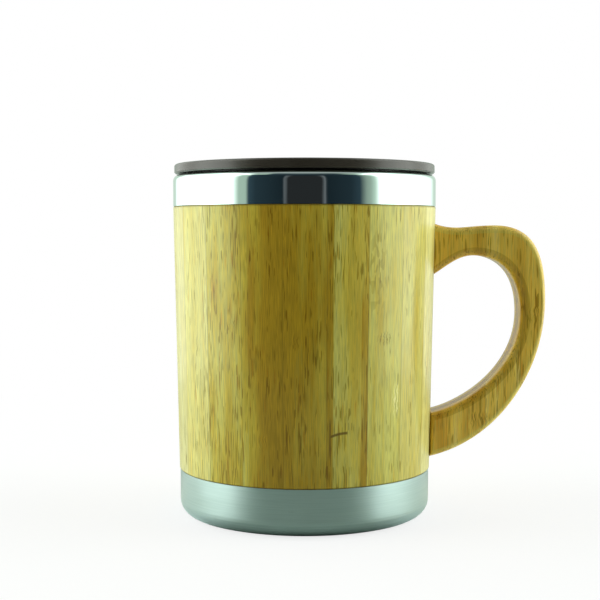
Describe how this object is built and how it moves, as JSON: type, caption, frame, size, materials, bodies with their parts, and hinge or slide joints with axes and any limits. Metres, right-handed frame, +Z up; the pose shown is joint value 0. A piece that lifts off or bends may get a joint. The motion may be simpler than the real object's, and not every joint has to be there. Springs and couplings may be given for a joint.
{
  "type": "lidded travel mug",
  "caption": "Lidded travel mug: tapered bamboo stave sleeve, polished rim band, satin steel base and liner, laminated loop handle, push-in slider lid.",
  "frame": {"origin": "centre of the flat foot ring under the base, on the table", "axes": "+Z up along the mug, +X towards the handle, the closed lid drinks at -X"},
  "size_m": [0.1244, 0.088, 0.1171],
  "materials": {
    "liner_steel": "satin drawn stainless steel",
    "polished_steel": "mirror polished stainless steel",
    "satin_steel": "satin stainless steel, brushed round",
    "bamboo_light": "satin lacquered bamboo, vertical grain",
    "bamboo_mid": "satin lacquered bamboo, vertical grain",
    "bamboo_dark": "satin lacquered bamboo, vertical grain",
    "handle_dark": "satin lacquered bamboo ply",
    "handle_mid": "satin lacquered bamboo ply",
    "handle_light": "satin lacquered bamboo ply",
    "screw_steel": "plain steel",
    "lid_plastic": "dark brown moulded plastic, satin gloss",
    "slider_plastic": "dark brown moulded plastic, satin gloss",
    "seal_rubber": "brown silicone"
  },
  "bodies": {
    "mug": {"inner_cup": "liner_steel", "rim_band": "polished_steel", "base_cap": "satin_steel", "bamboo_stave_01": "bamboo_mid", "bamboo_stave_02": "bamboo_light", "bamboo_stave_03": "bamboo_dark", "bamboo_stave_04": "bamboo_mid", "bamboo_stave_05": "bamboo_light", "bamboo_stave_06": "bamboo_dark", "bamboo_stave_07": "bamboo_mid", "bamboo_stave_08": "bamboo_light", "bamboo_stave_09": "bamboo_dark", "bamboo_stave_10": "bamboo_mid", "bamboo_stave_11": "bamboo_light", "bamboo_stave_12": "bamboo_dark", "bamboo_stave_13": "bamboo_mid", "bamboo_stave_14": "bamboo_light", "bamboo_stave_15": "bamboo_dark", "bamboo_stave_16": "bamboo_mid", "bamboo_stave_17": "bamboo_light", "bamboo_stave_18": "bamboo_dark", "bamboo_stave_19": "bamboo_mid", "bamboo_stave_20": "bamboo_light", "handle_ply_front": "handle_dark", "handle_ply_core": "handle_mid", "handle_ply_back": "handle_light", "handle_screws": "screw_steel"},
    "lid_ring": {"lid_seal": "seal_rubber"},
    "lid": {"lid_body": "lid_plastic"},
    "slider": {"lid_slider": "slider_plastic"}
  },
  "joints": [
    {"name": "lid_lift", "type": "slide", "parent": "mug", "child": "lid_ring", "axis": [0, 0, 1], "range_m": [0, 0.04]},
    {"name": "lid_turn", "type": "hinge", "parent": "lid_ring", "child": "lid", "pos_m": [0, 0, 0.11], "axis": [0, 0, 1], "continuous": true},
    {"name": "slider_slide", "type": "slide", "parent": "lid", "child": "slider", "axis": [1, 0, 0], "range_m": [0, 0.012]}
  ]
}
